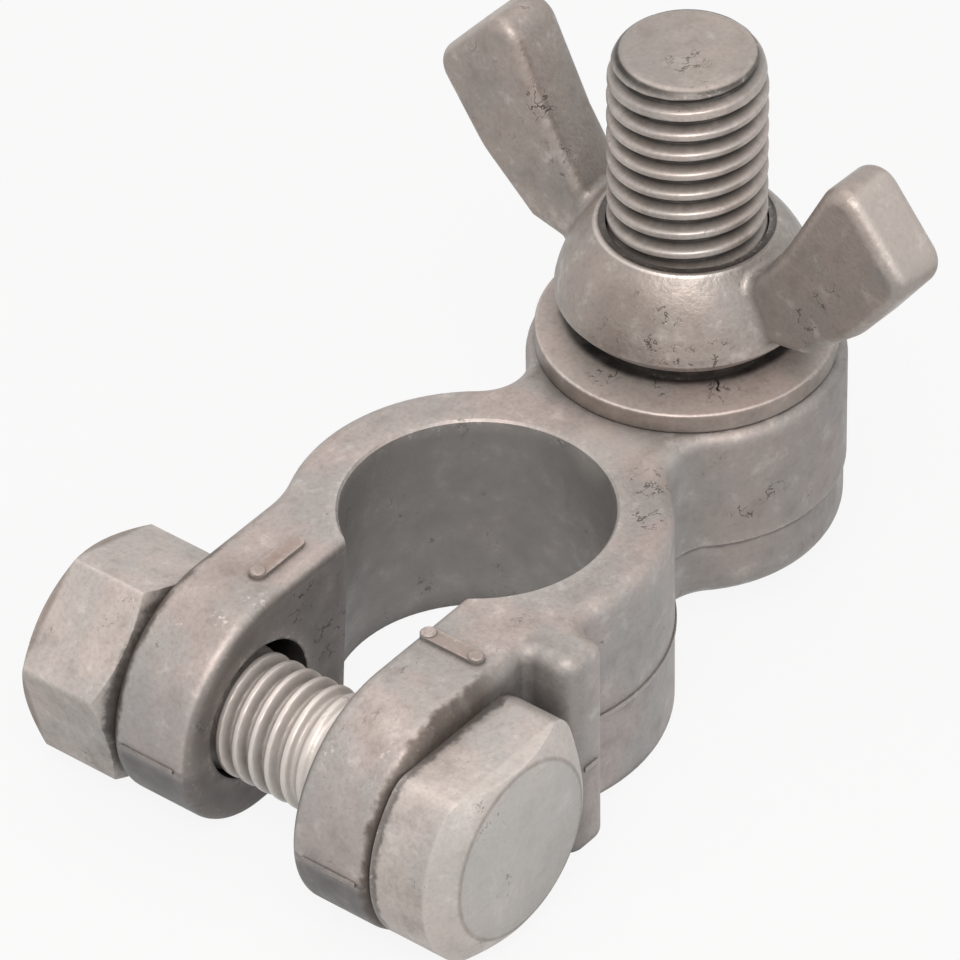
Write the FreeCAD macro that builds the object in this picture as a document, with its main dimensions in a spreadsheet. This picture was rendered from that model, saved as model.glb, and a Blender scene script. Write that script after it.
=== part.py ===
import FreeCAD, Part
import math
import os

import Sketcher

os.makedirs("parts", exist_ok=True)

doc = FreeCAD.newDocument("BatteryTerminalClamp")

# Frame: origin on the axis of the post bore, on the underside of the ring.
# +X runs to the stud, +Y to the clamp nut, +Z up along the bore. Millimetres.

VALUES = [
    # casting: ring
    ("ring_height", 15.4),
    ("ring_radius", 12.0),
    ("bore_radius", 8.5),
    ("bore_land", 3.0),
    ("taper_ratio", 9.0),
    ("bore_edge", 0.15),
    # casting: stud boss and neck
    ("stud_x", 20.9),
    ("boss_radius", 10.0),
    ("boss_base", 2.2),
    ("boss_round", 1.9),
    ("neck_radius", 3.0),
    ("parting_height", 6.9),
    ("parting_step", 0.18),
    ("flash_height", 0.12),
    ("flash_width", 0.3),
    # casting: ears
    ("slot_half", 4.45),
    ("ear_width", 6.15),
    ("near_ear_end", 24.0),
    ("far_ear_end", 22.7),
    ("hole_x", 15.8),
    ("hole_z", 7.7),
    ("hole_radius", 4.6),
    ("ear_blend", 7.0),
    ("cut_margin", 3.0),
    # casting: stop beside the bolt head
    ("stop_gap", 7.35),
    ("stop_width", 3.6),
    ("stop_proud", 3.04),
    ("stop_round", 1.3),
    ("stop_foot_round", 1.4),
    ("pocket_round", 0.6),
    # casting: soft edges
    ("top_round", 1.0),
    ("side_round", 1.1),
    ("slot_round", 0.8),
    # casting: raised bars on the ears
    ("bar_height", 0.25),
    ("bar_half_width", 0.55),
    ("bar_length", 3.6),
    ("near_bar_x", 11.3),
    ("near_bar_y", 7.0),
    ("far_bar_x", 11.3),
    ("far_bar_y", 6.55),
    ("dot_radius", 0.5),
    ("dot_rise", 0.12),
    ("dot_round", 0.1),
    # clamp bolt and nut
    ("bolt_x", 16.05),
    ("bolt_z", 7.4),
    ("bolt_radius", 4.0),
    ("bolt_length", 30.0),
    ("bolt_chamfer", 0.9),
    ("hex_flats", 13.0),
    ("hex_turn", 45.0),
    ("nut_height", 7.1),
    ("hex_chamfer_angle", 30.0),
    ("hex_face_inset", 0.55),
    ("head_height", 5.3),
    ("head_radius", 7.85),
    ("head_top", 6.1),
    ("head_side", 6.3),
    ("head_foot", 6.5),
    ("head_face_radius", 5.9),
    ("head_chamfer_angle", 32.0),
    ("head_corner_round", 1.8),
    ("nut_corner_round", 0.4),
    ("screw_clearance", 0.05),
    ("nut_countersink", 0.5),
    ("bolt_pitch", 1.25),
    ("bolt_thread_depth", 0.62),
    ("bolt_thread_start", -2.0),
    # stud
    ("stud_radius", 5.0),
    ("stud_top", 37.75),
    ("stud_lead", 3.5),
    ("stud_end_radius", 4.0),
    ("stud_end_round", 0.4),
    ("stud_head_half", 6.0),
    ("stud_head_height", 3.2),
    ("stud_head_round", 1.2),
    ("recess_clearance", 0.05),
    ("stud_fit", 0.02),
    ("stud_pitch", 1.5),
    ("stud_thread_depth", 0.8),
    ("stud_thread_start", 9.0),
    ("thread_flat", 0.24),
    ("thread_over", 0.1),
    # washer
    ("washer_radius", 9.45),
    ("washer_height", 1.4),
    ("washer_clearance", 0.3),
    ("washer_round", 0.2),
    # wing nut
    ("wing_turn", 2.3),
    ("hub_foot", 5.9),
    ("hub_foot_height", 0.85),
    ("hub_radius", 8.2),
    ("hub_belly", 2.75),
    ("hub_side", 3.3),
    ("hub_height", 8.0),
    ("hub_collar", 5.75),
    ("foot_round", 6.0),
    ("dome_round", 9.0),
    ("wing_half", 2.2),
    ("wing_root_in", 5.6),
    ("wing_low_z", 2.9),
    ("wing_low_y", 10.9),
    ("wing_low_rise", 3.9),
    ("wing_mid_y", 15.0),
    ("wing_mid_rise", 7.4),
    ("wing_tip_y", 18.8),
    ("wing_tip_rise", 12.6),
    ("wing_end_y", 13.2),
    ("wing_end_rise", 19.1),
    ("wing_inner_y", 9.2),
    ("wing_inner_rise", 11.3),
    ("wing_foot_y", 7.0),
    ("wing_foot_rise", 8.0),
    ("wing_tip_round", 1.8),
    ("wing_belly_round", 6.0),
    ("wing_edge_round", 0.9),
    ("wing_root_round", 0.7),
]

FULL_TURN = 360.0
HEX_SIDES = 6
WINGS = 2
NEAR = 1e-3
SHORT_EDGE = 0.1

sheet = doc.addObject("Spreadsheet::Sheet", "Sizes")
for row, (name, value) in enumerate(VALUES, start=1):
    sheet.set("A%d" % row, name)
    sheet.set("B%d" % row, str(value))
    sheet.setAlias("B%d" % row, name)
doc.recompute()


class Size:
    """A number together with the expression that ties it to the sheet."""

    def __init__(self, value, text):
        self.value = value
        self.text = text

    def _join(self, other, sign, value, flip=False):
        pair = [self.text, other.text if isinstance(other, Size) else repr(float(other))]
        if flip:
            pair.reverse()
        return Size(value, "(%s %s %s)" % (pair[0], sign, pair[1]))

    def __add__(self, other):
        return self._join(other, "+", self.value + number(other))

    def __radd__(self, other):
        return self._join(other, "+", number(other) + self.value, True)

    def __sub__(self, other):
        return self._join(other, "-", self.value - number(other))

    def __rsub__(self, other):
        return self._join(other, "-", number(other) - self.value, True)

    def __mul__(self, other):
        return self._join(other, "*", self.value * number(other))

    def __rmul__(self, other):
        return self._join(other, "*", number(other) * self.value, True)

    def __truediv__(self, other):
        return self._join(other, "/", self.value / number(other))

    def __rtruediv__(self, other):
        return self._join(other, "/", number(other) / self.value, True)

    def __neg__(self):
        return Size(-self.value, "(0 - %s)" % self.text)


def number(thing):
    return thing.value if isinstance(thing, Size) else float(thing)


def root(size):
    return Size(math.sqrt(size.value), "sqrt(%s)" % size.text)


def sine(degrees):
    return Size(math.sin(math.radians(degrees.value)), "sin(%s)" % degrees.text)


def cosine(degrees):
    return Size(math.cos(math.radians(degrees.value)), "cos(%s)" % degrees.text)


def tangent(degrees):
    return Size(math.tan(math.radians(degrees.value)), "tan(%s)" % degrees.text)


S = {name: Size(value, "Sizes.%s" % name) for name, value in VALUES}
ZERO = Size(0.0, "0")


# Sizes that follow from the sheet

bore_base = S["bore_radius"] + (S["ring_height"] - S["bore_land"]) / (2 * S["taper_ratio"])
ear_face = S["slot_half"] + S["ear_width"]
upper_bend = S["ring_height"] - S["parting_height"]
lower_bend = S["parting_height"]
stop_x = S["bolt_x"] - S["stop_gap"]
hex_step = Size(FULL_TURN / HEX_SIDES, repr(FULL_TURN / HEX_SIDES))
hex_corner = S["hex_flats"] / 2 / cosine(hex_step / 2)
boss_top = S["ring_height"]
washer_top = boss_top + S["washer_height"]
head_top = S["boss_base"] + S["stud_head_height"]


def new_body(label, x=None, z=None, turn=None, axis=None):
    """Body drawn about its own axis and placed by the sheet."""
    body = doc.addObject("PartDesign::Body", label)
    body.Label = label
    if turn is not None:
        body.Placement = FreeCAD.Placement(FreeCAD.Vector(), FreeCAD.Rotation(axis, number(turn)))
        body.setExpression("Placement.Rotation.Angle", turn.text)
    if x is not None:
        body.setExpression("Placement.Base.x", x.text)
    if z is not None:
        body.setExpression("Placement.Base.z", z.text)
    doc.recompute()
    return body


def origin_plane(body, role):
    return [item for item in body.Origin.OriginFeatures if item.Role == role][0]


def new_sketch(body, role, name, offset=None):
    """Sketch on a plane of the body's own origin, moved along its normal."""
    sketch = body.newObject("Sketcher::SketchObject", name)
    sketch.AttachmentSupport = [(origin_plane(body, role), "")]
    sketch.MapMode = "FlatFace"
    if offset is not None:
        sketch.setExpression("AttachmentOffset.Base.z", offset.text)
    doc.recompute()
    return sketch


def pin_point(sketch, geometry, corner, x, y):
    index = sketch.addConstraint(Sketcher.Constraint("DistanceX", -1, 1, geometry, corner, number(x)))
    sketch.setExpression("Constraints[%d]" % index, x.text)
    index = sketch.addConstraint(Sketcher.Constraint("DistanceY", -1, 1, geometry, corner, number(y)))
    sketch.setExpression("Constraints[%d]" % index, y.text)


def arc_centre(start, end, radius, left):
    """Centre of the arc from start to end, on the left of the chord if asked."""
    mx, my = (start[0] + end[0]) / 2, (start[1] + end[1]) / 2
    dx, dy = end[0] - start[0], end[1] - start[1]
    chord = math.hypot(dx, dy)
    rise = math.sqrt(max(radius * radius - chord * chord / 4, 0.0))
    side = 1.0 if left else -1.0
    return mx - side * dy / chord * rise, my + side * dx / chord * rise


def outline(sketch, corners):
    """Closed outline. Each corner is (x, y) or (x, y, bend): bend is the side
    that leaves the corner: ("left" or "right", radius), the side of the chord
    on which the centre of the arc lies."""
    count = len(corners)
    first = sketch.GeometryCount
    for i, corner in enumerate(corners):
        start = (number(corner[0]), number(corner[1]))
        follow = corners[(i + 1) % count]
        end = (number(follow[0]), number(follow[1]))
        p = FreeCAD.Vector(start[0], start[1], 0)
        q = FreeCAD.Vector(end[0], end[1], 0)
        if len(corner) == 2:
            sketch.addGeometry(Part.LineSegment(p, q), False)
        else:
            side, radius = corner[2]
            cx, cy = arc_centre(start, end, number(radius), side == "left")
            a0 = math.atan2(start[1] - cy, start[0] - cx)
            a1 = math.atan2(end[1] - cy, end[0] - cx)
            if side == "right":
                a0, a1 = a1, a0
            if a1 <= a0:
                a1 += 2 * math.pi
            circle = Part.Circle(FreeCAD.Vector(cx, cy, 0), FreeCAD.Vector(0, 0, 1), number(radius))
            sketch.addGeometry(Part.ArcOfCircle(circle, a0, a1), False)

    def end_of(i):
        turned = len(corners[i]) == 3 and corners[i][2][0] == "right"
        return 1 if turned else 2

    def start_of(i):
        return 3 - end_of(i)

    for i in range(count):
        follow = (i + 1) % count
        sketch.addConstraint(
            Sketcher.Constraint("Coincident", first + i, end_of(i), first + follow, start_of(follow))
        )
    for i, corner in enumerate(corners):
        pin_point(sketch, first + i, start_of(i), corner[0], corner[1])
        if len(corner) == 3:
            index = sketch.addConstraint(Sketcher.Constraint("Radius", first + i, number(corner[2][1])))
            sketch.setExpression("Constraints[%d]" % index, corner[2][1].text)
    doc.recompute()
    return sketch


def circle(sketch, x, y, radius):
    index = sketch.addGeometry(
        Part.Circle(FreeCAD.Vector(number(x), number(y), 0), FreeCAD.Vector(0, 0, 1), number(radius)), False
    )
    pin_point(sketch, index, 3, x, y)
    bound = sketch.addConstraint(Sketcher.Constraint("Radius", index, number(radius)))
    sketch.setExpression("Constraints[%d]" % bound, radius.text)
    return index


def pad(body, sketch, name, length, reverse=False, middle=False):
    item = body.newObject("PartDesign::Pad", name)
    item.Profile = sketch
    item.setExpression("Length", length.text)
    item.Reversed = reverse
    item.Midplane = middle
    sketch.Visibility = False
    doc.recompute()
    return item


def pocket(body, sketch, name, length=None, reverse=False, middle=False):
    """Pocket that must take material away; through everything with no length."""
    before = body.Shape.Volume
    item = body.newObject("PartDesign::Pocket", name)
    item.Profile = sketch
    if length is None:
        item.Type = "ThroughAll"
    else:
        item.setExpression("Length", length.text)
    item.Reversed = reverse
    item.Midplane = middle
    sketch.Visibility = False
    doc.recompute()
    if body.Shape.Volume >= before - NEAR:
        raise RuntimeError("%s took nothing away" % name)
    return item


def revolve(body, sketch, name, kind, axis):
    item = body.newObject("PartDesign::" + kind, name)
    item.Profile = sketch
    item.ReferenceAxis = (sketch, [axis])
    item.Angle = FULL_TURN
    sketch.Visibility = False
    doc.recompute()
    return item


def edge_names(shape, wanted):
    return ["Edge%d" % (i + 1) for i, edge in enumerate(shape.Edges) if wanted(edge)]


def round_edges(body, name, wanted, radius, kind="Fillet"):
    base = body.Tip
    names = edge_names(base.Shape, wanted)
    if not names:
        raise RuntimeError("%s found no edge" % name)
    item = body.newObject("PartDesign::" + kind, name)
    item.Base = (base, names)
    item.setExpression("Radius" if kind == "Fillet" else "Size", radius.text)
    doc.recompute()
    if item.Shape.isNull():
        raise RuntimeError("%s failed" % name)
    return item


def near(a, b):
    return abs(a - number(b)) < NEAR


def cut_thread(body, plane, name, radius, start, end, pitch, depth):
    """Right-hand thread cut by one groove that climbs round the body's axis.

    The groove has sloping flanks and a flat root, leaves a flat crest of the same
    width, and runs out over the end."""
    root_radius = radius - depth
    root_half = S["thread_flat"] / 2
    mouth_half = (pitch - S["thread_flat"]) / 2
    over_half = mouth_half + S["thread_over"] * (mouth_half - root_half) / depth
    over_radius = radius + S["thread_over"]
    groove = outline(
        new_sketch(body, plane, name + "Outline"),
        [
            (root_radius, start - root_half),
            (over_radius, start - over_half),
            (over_radius, start + over_half),
            (root_radius, start + root_half),
        ],
    )
    before = body.Shape.Volume
    item = body.newObject("PartDesign::SubtractiveHelix", name)
    item.Profile = groove
    item.ReferenceAxis = (groove, ["V_Axis"])
    item.Mode = "pitch-height-angle"
    item.setExpression("Pitch", pitch.text)
    item.setExpression("Height", (end - start + pitch).text)
    groove.Visibility = False
    doc.recompute()
    if body.Shape.Volume >= before - NEAR:
        raise RuntimeError("%s took nothing away" % name)


# clamp_body: one casting

body = new_body("clamp_body")

reach_ring = S["ring_radius"] + S["neck_radius"]
reach_boss = S["boss_radius"] + S["neck_radius"]
blend_x = (reach_ring * reach_ring - reach_boss * reach_boss + S["stud_x"] * S["stud_x"]) / (2 * S["stud_x"])
blend_y = root(reach_ring * reach_ring - blend_x * blend_x)


def boss_outline(sketch, inset):
    """Boss circle run into the ring by two hollow arcs, drawn inset all round."""
    ring = S["ring_radius"] - inset
    boss = S["boss_radius"] - inset
    hollow = S["neck_radius"] + inset
    ring_x, ring_y = blend_x * ring / reach_ring, blend_y * ring / reach_ring
    boss_x = S["stud_x"] + (blend_x - S["stud_x"]) * boss / reach_boss
    boss_y = blend_y * boss / reach_boss
    return outline(
        sketch,
        [
            (ring_x, -ring_y, ("right", hollow)),
            (boss_x, -boss_y, ("left", boss)),
            (S["stud_x"] + boss, ZERO, ("left", boss)),
            (boss_x, boss_y, ("right", hollow)),
            (ring_x, ring_y),
        ],
    )


boss_low = boss_outline(new_sketch(body, "XY_Plane", "BossLowOutline", S["boss_base"]), S["parting_step"])
pad(body, boss_low, "BossLow", S["parting_height"] - S["boss_base"])
root_x = (blend_x * (S["ring_radius"] - S["parting_step"]) / reach_ring).value
round_edges(
    body,
    "BossFoot",
    lambda e: near(e.BoundBox.ZMax, S["boss_base"]) and e.BoundBox.XMax > root_x + NEAR,
    S["boss_round"],
)
boss_high = boss_outline(new_sketch(body, "XY_Plane", "BossHighOutline", S["parting_height"]), ZERO)
pad(body, boss_high, "BossHigh", S["ring_height"] - S["parting_height"])

stop_far = stop_x - S["stop_width"]
stop_foot = root(S["ring_radius"] * S["ring_radius"] - stop_far * stop_far)
stop_reach = stop_foot + S["stop_proud"]
far_x = root(S["ring_radius"] * S["ring_radius"] - ear_face * ear_face)

plan = outline(
    new_sketch(body, "XY_Plane", "PlanOutline"),
    [
        (-S["near_ear_end"], -ear_face),
        (-stop_x, -ear_face),
        (-stop_x, -stop_reach),
        (-stop_far, -stop_reach),
        (-stop_far, -stop_foot, ("left", S["ring_radius"])),
        (S["ring_radius"], ZERO, ("left", S["ring_radius"])),
        (-far_x, ear_face),
        (-S["far_ear_end"], ear_face),
        (-S["far_ear_end"], ZERO),
        (-S["near_ear_end"], ZERO),
    ],
)
pad(body, plan, "RingEarsStop", S["ring_height"])


def round_ear_end(name, end, reverse):
    """Ear end bent from the top and from the underside to the parting line."""
    beyond = end + S["cut_margin"]
    top_x, foot_x = end - upper_bend, end - lower_bend
    sketch = outline(
        new_sketch(body, "XZ_Plane", name + "Outline"),
        [
            (-top_x, S["ring_height"], ("left", upper_bend)),
            (-end, S["parting_height"], ("left", lower_bend)),
            (-foot_x, ZERO),
            (-foot_x, -S["cut_margin"]),
            (-beyond, -S["cut_margin"]),
            (-beyond, S["ring_height"] + S["cut_margin"]),
            (-top_x, S["ring_height"] + S["cut_margin"]),
        ],
    )
    pocket(body, sketch, name, ear_face + S["cut_margin"], reverse=reverse)


round_ear_end("NearEarEnd", S["near_ear_end"], True)
round_ear_end("FarEarEnd", S["far_ear_end"], False)


def upright(x, y):
    def wanted(edge):
        b = edge.BoundBox
        return b.XLength < NEAR and b.YLength < NEAR and near(b.XMin, x) and near(b.YMin, y)

    return wanted


round_edges(body, "FarBlend", upright(-far_x, ear_face), S["ear_blend"])
round_edges(body, "StopFoot", upright(-stop_far, -stop_foot), S["stop_foot_round"])
round_edges(body, "StopPocket", upright(-stop_x, -ear_face), S["pocket_round"])
round_edges(body, "StopCorner", upright(-stop_x, -stop_reach), S["stop_round"])
round_edges(body, "StopBack", upright(-stop_far, -stop_reach), S["side_round"])


def soft_edge(edge):
    b = edge.BoundBox
    across = b.XLength < NEAR and b.YLength > S["ear_width"].value - NEAR
    in_slot = max(abs(b.YMin), abs(b.YMax)) < S["slot_half"].value
    on_top = b.ZLength < NEAR and near(b.ZMax, S["ring_height"]) and not across and not in_slot
    at_side = near(b.YMin, b.YMax) and near(abs(b.YMax), ear_face)
    at_end = near(b.XMin, -S["near_ear_end"]) or near(b.XMin, -S["far_ear_end"])
    return on_top or (at_side and at_end and b.ZLength > lower_bend.value - NEAR)


round_edges(body, "SoftEdges", soft_edge, S["top_round"])


# Flash left by the parting line on the ring, the ear ends and the stop


def rectangle(sketch, x0, y0, x1, y1):
    return outline(sketch, [(x0, y0), (x1, y0), (x1, y1), (x0, y1)])


flash_inset = S["slot_round"] + S["flash_width"]
flash = new_sketch(body, "XY_Plane", "FlashOutline", S["parting_height"] - S["flash_width"])
circle(flash, ZERO, ZERO, S["ring_radius"] + S["flash_height"])
for end, inner, outer in (
    (S["near_ear_end"], -S["slot_half"] - flash_inset, -ear_face + S["top_round"]),
    (S["far_ear_end"], S["slot_half"] + flash_inset, ear_face - S["top_round"]),
):
    rectangle(flash, -(end + S["flash_height"]), inner, -S["hole_x"], outer)
rectangle(
    flash,
    -stop_x + S["stop_round"],
    -(stop_reach + S["flash_height"]),
    -stop_far - S["side_round"],
    -stop_reach + S["top_round"],
)
pad(body, flash, "Flash", S["flash_width"])

bore = outline(
    new_sketch(body, "XZ_Plane", "BoreOutline"),
    [
        (ZERO, ZERO),
        (bore_base + S["bore_edge"], ZERO),
        (bore_base, S["bore_edge"]),
        (S["bore_radius"], S["ring_height"] - S["bore_land"]),
        (S["bore_radius"], S["ring_height"] - S["bore_edge"]),
        (S["bore_radius"] + S["bore_edge"], S["ring_height"]),
        (ZERO, S["ring_height"]),
    ],
)
before = body.Shape.Volume
revolve(body, bore, "TaperedBore", "Groove", "V_Axis")
if body.Shape.Volume >= before:
    raise RuntimeError("the bore took nothing away")

slot = outline(
    new_sketch(body, "XY_Plane", "SlotOutline"),
    [
        (-(S["near_ear_end"] + S["cut_margin"]), -S["slot_half"]),
        (ZERO, -S["slot_half"]),
        (ZERO, S["slot_half"]),
        (-(S["near_ear_end"] + S["cut_margin"]), S["slot_half"]),
    ],
)
pocket(body, slot, "Slot", middle=True)


def slot_edge(edge):
    b = edge.BoundBox
    on_wall = b.YLength < NEAR and (near(b.YMin, S["slot_half"]) or near(b.YMin, -S["slot_half"]))
    off_bore = type(edge.Curve).__name__ in ("Line", "Circle") and b.XLength > NEAR
    return on_wall and off_bore


round_edges(body, "SlotEdges", slot_edge, S["slot_round"])

holes = new_sketch(body, "XZ_Plane", "BoltHoleOutline")
circle(holes, -S["hole_x"], S["hole_z"], S["hole_radius"])
pocket(body, holes, "BoltHoles", middle=True)

stud_hole = new_sketch(body, "XY_Plane", "StudHoleOutline")
circle(stud_hole, S["stud_x"], ZERO, S["stud_radius"] + S["stud_fit"])
pocket(body, stud_hole, "StudHole", middle=True)


def square(sketch, centre, half, bend):
    """Square with rounded corners, centred on the X axis of the sketch."""
    x0, x1 = centre - half, centre + half
    return outline(
        sketch,
        [
            (x0 + bend, -half),
            (x1 - bend, -half, ("left", bend)),
            (x1, -half + bend),
            (x1, half - bend, ("left", bend)),
            (x1 - bend, half),
            (x0 + bend, half, ("left", bend)),
            (x0, half - bend),
            (x0, -half + bend, ("left", bend)),
        ],
    )


recess = square(
    new_sketch(body, "XY_Plane", "RecessOutline", S["boss_base"]),
    S["stud_x"],
    S["stud_head_half"] + S["recess_clearance"],
    S["stud_head_round"] + S["recess_clearance"],
)
pocket(body, recess, "HeadRecess", S["stud_head_height"], reverse=True)


# Raised bars on top of the ears, each with a round dot at its ends

def bar(name, x, y, along_y):
    half, width = S["bar_length"] / 2, S["bar_half_width"]
    sketch = new_sketch(body, "XY_Plane", name + "Outline", S["ring_height"])
    turns = [
        (-width, -half, True),
        (ZERO, -half - width, True),
        (width, -half, False),
        (width, half, True),
        (ZERO, half + width, True),
        (-width, half, False),
    ]
    corners = []
    for u, v, bent in turns:
        across, along = (u, v) if along_y else (-v, u)
        corner = (x + across, y + along)
        corners.append(corner + ((("left", width),) if bent else ()))
    return pad(body, outline(sketch, corners), name, S["bar_height"])


bar("NearBar", -S["near_bar_x"], -S["near_bar_y"], True)
bar("FarBar", -S["far_bar_x"], S["far_bar_y"], False)


def dots(name, spots):
    """Round studs on the ends of a bar, a little prouder than the bar."""
    sketch = new_sketch(body, "XY_Plane", name + "Outline", S["ring_height"])
    for x, y in spots:
        circle(sketch, x, y, S["dot_radius"])
    pad(body, sketch, name, S["bar_height"] + S["dot_rise"])
    top = (S["ring_height"] + S["bar_height"] + S["dot_rise"]).value
    round_edges(body, name + "Round", lambda e: near(e.BoundBox.ZMin, top), S["dot_round"])


dots(
    "Dots",
    [
        (-S["near_bar_x"], -S["near_bar_y"] + S["bar_length"] / 2),
        (-S["near_bar_x"], -S["near_bar_y"] - S["bar_length"] / 2),
        (-S["far_bar_x"] - S["bar_length"] / 2, S["far_bar_y"]),
    ],
)


# stud: threaded length pressed up through the boss, square head sunk below

stud = new_body("stud", x=S["stud_x"])
stud_head = square(
    new_sketch(stud, "XY_Plane", "StudHeadOutline", S["boss_base"]),
    ZERO,
    S["stud_head_half"],
    S["stud_head_round"],
)
pad(stud, stud_head, "StudHead", S["stud_head_height"])
lead_in = S["stud_radius"] - S["stud_end_radius"]
lead_bend = (lead_in * lead_in + S["stud_lead"] * S["stud_lead"]) / (2 * lead_in)
shank = outline(
    new_sketch(stud, "XZ_Plane", "StudShankOutline"),
    [
        (ZERO, S["boss_base"]),
        (S["stud_radius"], S["boss_base"]),
        (S["stud_radius"], S["stud_top"] - S["stud_lead"], ("left", lead_bend)),
        (S["stud_end_radius"], S["stud_top"]),
        (ZERO, S["stud_top"]),
    ],
)
revolve(stud, shank, "StudShank", "Revolution", "V_Axis")
round_edges(stud, "StudEnd", lambda e: near(e.BoundBox.ZMin, S["stud_top"]), S["stud_end_round"])
cut_thread(
    stud,
    "XZ_Plane",
    "StudThread",
    S["stud_radius"],
    S["stud_thread_start"],
    S["stud_top"],
    S["stud_pitch"],
    S["stud_thread_depth"],
)


# washer

washer = new_body("washer", x=S["stud_x"])
ring_plan = new_sketch(washer, "XY_Plane", "WasherOutline", boss_top)
circle(ring_plan, ZERO, ZERO, S["washer_radius"])
circle(ring_plan, ZERO, ZERO, S["stud_radius"] + S["washer_clearance"])
pad(washer, ring_plan, "WasherDisc", S["washer_height"])


def rim_edge(edge):
    b = edge.BoundBox
    return b.ZLength < NEAR and near(b.XLength, S["washer_radius"] * 2)


round_edges(washer, "WasherEdges", rim_edge, S["washer_round"])


# wing nut: turned hub and two forged wings

wing_nut = new_body("wing_nut", x=S["stud_x"], turn=-S["wing_turn"], axis=FreeCAD.Vector(0, 0, 1))
foot = washer_top
hub = outline(
    new_sketch(wing_nut, "XZ_Plane", "HubOutline"),
    [
        (ZERO, foot),
        (S["hub_foot"], foot),
        (S["hub_foot"], foot + S["hub_foot_height"], ("left", S["foot_round"])),
        (S["hub_radius"], foot + S["hub_belly"]),
        (S["hub_radius"], foot + S["hub_side"], ("left", S["dome_round"])),
        (S["hub_collar"], foot + S["hub_height"]),
        (ZERO, foot + S["hub_height"]),
    ],
)
revolve(wing_nut, hub, "Hub", "Revolution", "V_Axis")
wing = outline(
    new_sketch(wing_nut, "YZ_Plane", "WingOutline"),
    [
        (S["wing_root_in"], foot + S["wing_low_z"]),
        (S["wing_low_y"], foot + S["wing_low_rise"]),
        (S["wing_mid_y"], foot + S["wing_mid_rise"]),
        (S["wing_tip_y"], foot + S["wing_tip_rise"]),
        (S["wing_end_y"], foot + S["wing_end_rise"]),
        (S["wing_inner_y"], foot + S["wing_inner_rise"]),
        (S["wing_foot_y"], foot + S["wing_foot_rise"]),
        (S["wing_root_in"], foot + S["wing_low_z"] + S["wing_half"]),
    ],
)
wing_pad = pad(wing_nut, wing, "Wing", S["wing_half"] * 2, middle=True)
pair = wing_nut.newObject("PartDesign::PolarPattern", "WingPair")
pair.Originals = [wing_pad]
pair.Axis = (hub, ["V_Axis"])
pair.Angle = FULL_TURN
pair.Occurrences = WINGS
wing_nut.Tip = pair
doc.recompute()


def tip_edge(edge):
    b = edge.BoundBox
    if b.YLength > NEAR or b.ZLength > NEAR:
        return False
    low = near(abs(b.YMin), S["wing_tip_y"]) and near(b.ZMin, foot + S["wing_tip_rise"])
    high = near(abs(b.YMin), S["wing_end_y"]) and near(b.ZMin, foot + S["wing_end_rise"])
    return low or high


def belly_edge(edge):
    b = edge.BoundBox
    along_x = b.YLength < NEAR and b.ZLength < NEAR
    return along_x and near(abs(b.YMin), S["wing_mid_y"]) and near(b.ZMin, foot + S["wing_mid_rise"])


round_edges(wing_nut, "WingTips", tip_edge, S["wing_tip_round"])
round_edges(wing_nut, "WingBellies", belly_edge, S["wing_belly_round"])


def side_edge(edge):
    b = edge.BoundBox
    on_side = b.XLength < NEAR and near(abs(b.XMin), S["wing_half"])
    plain = type(edge.Curve).__name__ in ("Line", "Circle")
    return on_side and plain and b.YLength + b.ZLength > SHORT_EDGE


round_edges(wing_nut, "WingEdges", side_edge, S["wing_edge_round"])


def root_edge(edge):
    b = edge.BoundBox
    reach = (S["hub_radius"] + S["wing_root_round"]).value
    return type(edge.Curve).__name__ == "BSplineCurve" and max(abs(b.YMin), abs(b.YMax)) < reach


round_edges(wing_nut, "WingRoots", root_edge, S["wing_root_round"])
nut_bore = new_sketch(wing_nut, "XY_Plane", "WingNutBoreOutline", foot)
circle(nut_bore, ZERO, ZERO, S["stud_radius"] + S["screw_clearance"])
pocket(wing_nut, nut_bore, "WingNutBore", middle=True)


def hexagon(sketch, turn):
    corners = []
    for step in range(HEX_SIDES):
        angle = turn + step * hex_step
        corners.append((hex_corner * cosine(angle), hex_corner * sine(angle)))
    return outline(sketch, corners)


def cone_chamfer(body, name, face_y, inward, inner, outer, slope):
    """Cone that takes the corners off a head or nut, from radius inner on the
    face at face_y to radius outer. inward is +1 or -1, the way along Y into
    the metal."""
    depth = (outer - inner) * tangent(slope)
    sketch = outline(
        new_sketch(body, "XY_Plane", name + "Outline"),
        [(inner, face_y), (outer, face_y), (outer, face_y + inward * depth)],
    )
    before = body.Shape.Volume
    revolve(body, sketch, name, "Groove", "V_Axis")
    if body.Shape.Volume >= before:
        raise RuntimeError("%s took nothing away" % name)


def hex_corner_edge(edge):
    b = edge.BoundBox
    return b.XLength < NEAR and b.ZLength < NEAR and near(b.YLength, S["nut_height"])


# clamp_bolt: head round towards the ear ends, with flats above, below and
# beside the stop, which keeps it from turning; shank through both ears

bolt = new_body("clamp_bolt", x=-S["bolt_x"], z=S["bolt_z"])
top_run = root(S["head_radius"] * S["head_radius"] - S["head_top"] * S["head_top"])
foot_run = root(S["head_radius"] * S["head_radius"] - S["head_foot"] * S["head_foot"])
bend = S["head_corner_round"]
head = outline(
    new_sketch(bolt, "XZ_Plane", "HeadOutline", ear_face),
    [
        (-foot_run, -S["head_foot"]),
        (S["head_side"] - bend, -S["head_foot"], ("left", bend)),
        (S["head_side"], -S["head_foot"] + bend),
        (S["head_side"], S["head_top"] - bend, ("left", bend)),
        (S["head_side"] - bend, S["head_top"]),
        (-top_run, S["head_top"], ("left", S["head_radius"])),
        (-S["head_radius"], ZERO, ("left", S["head_radius"])),
    ],
)
pad(bolt, head, "Head", S["head_height"])


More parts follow.
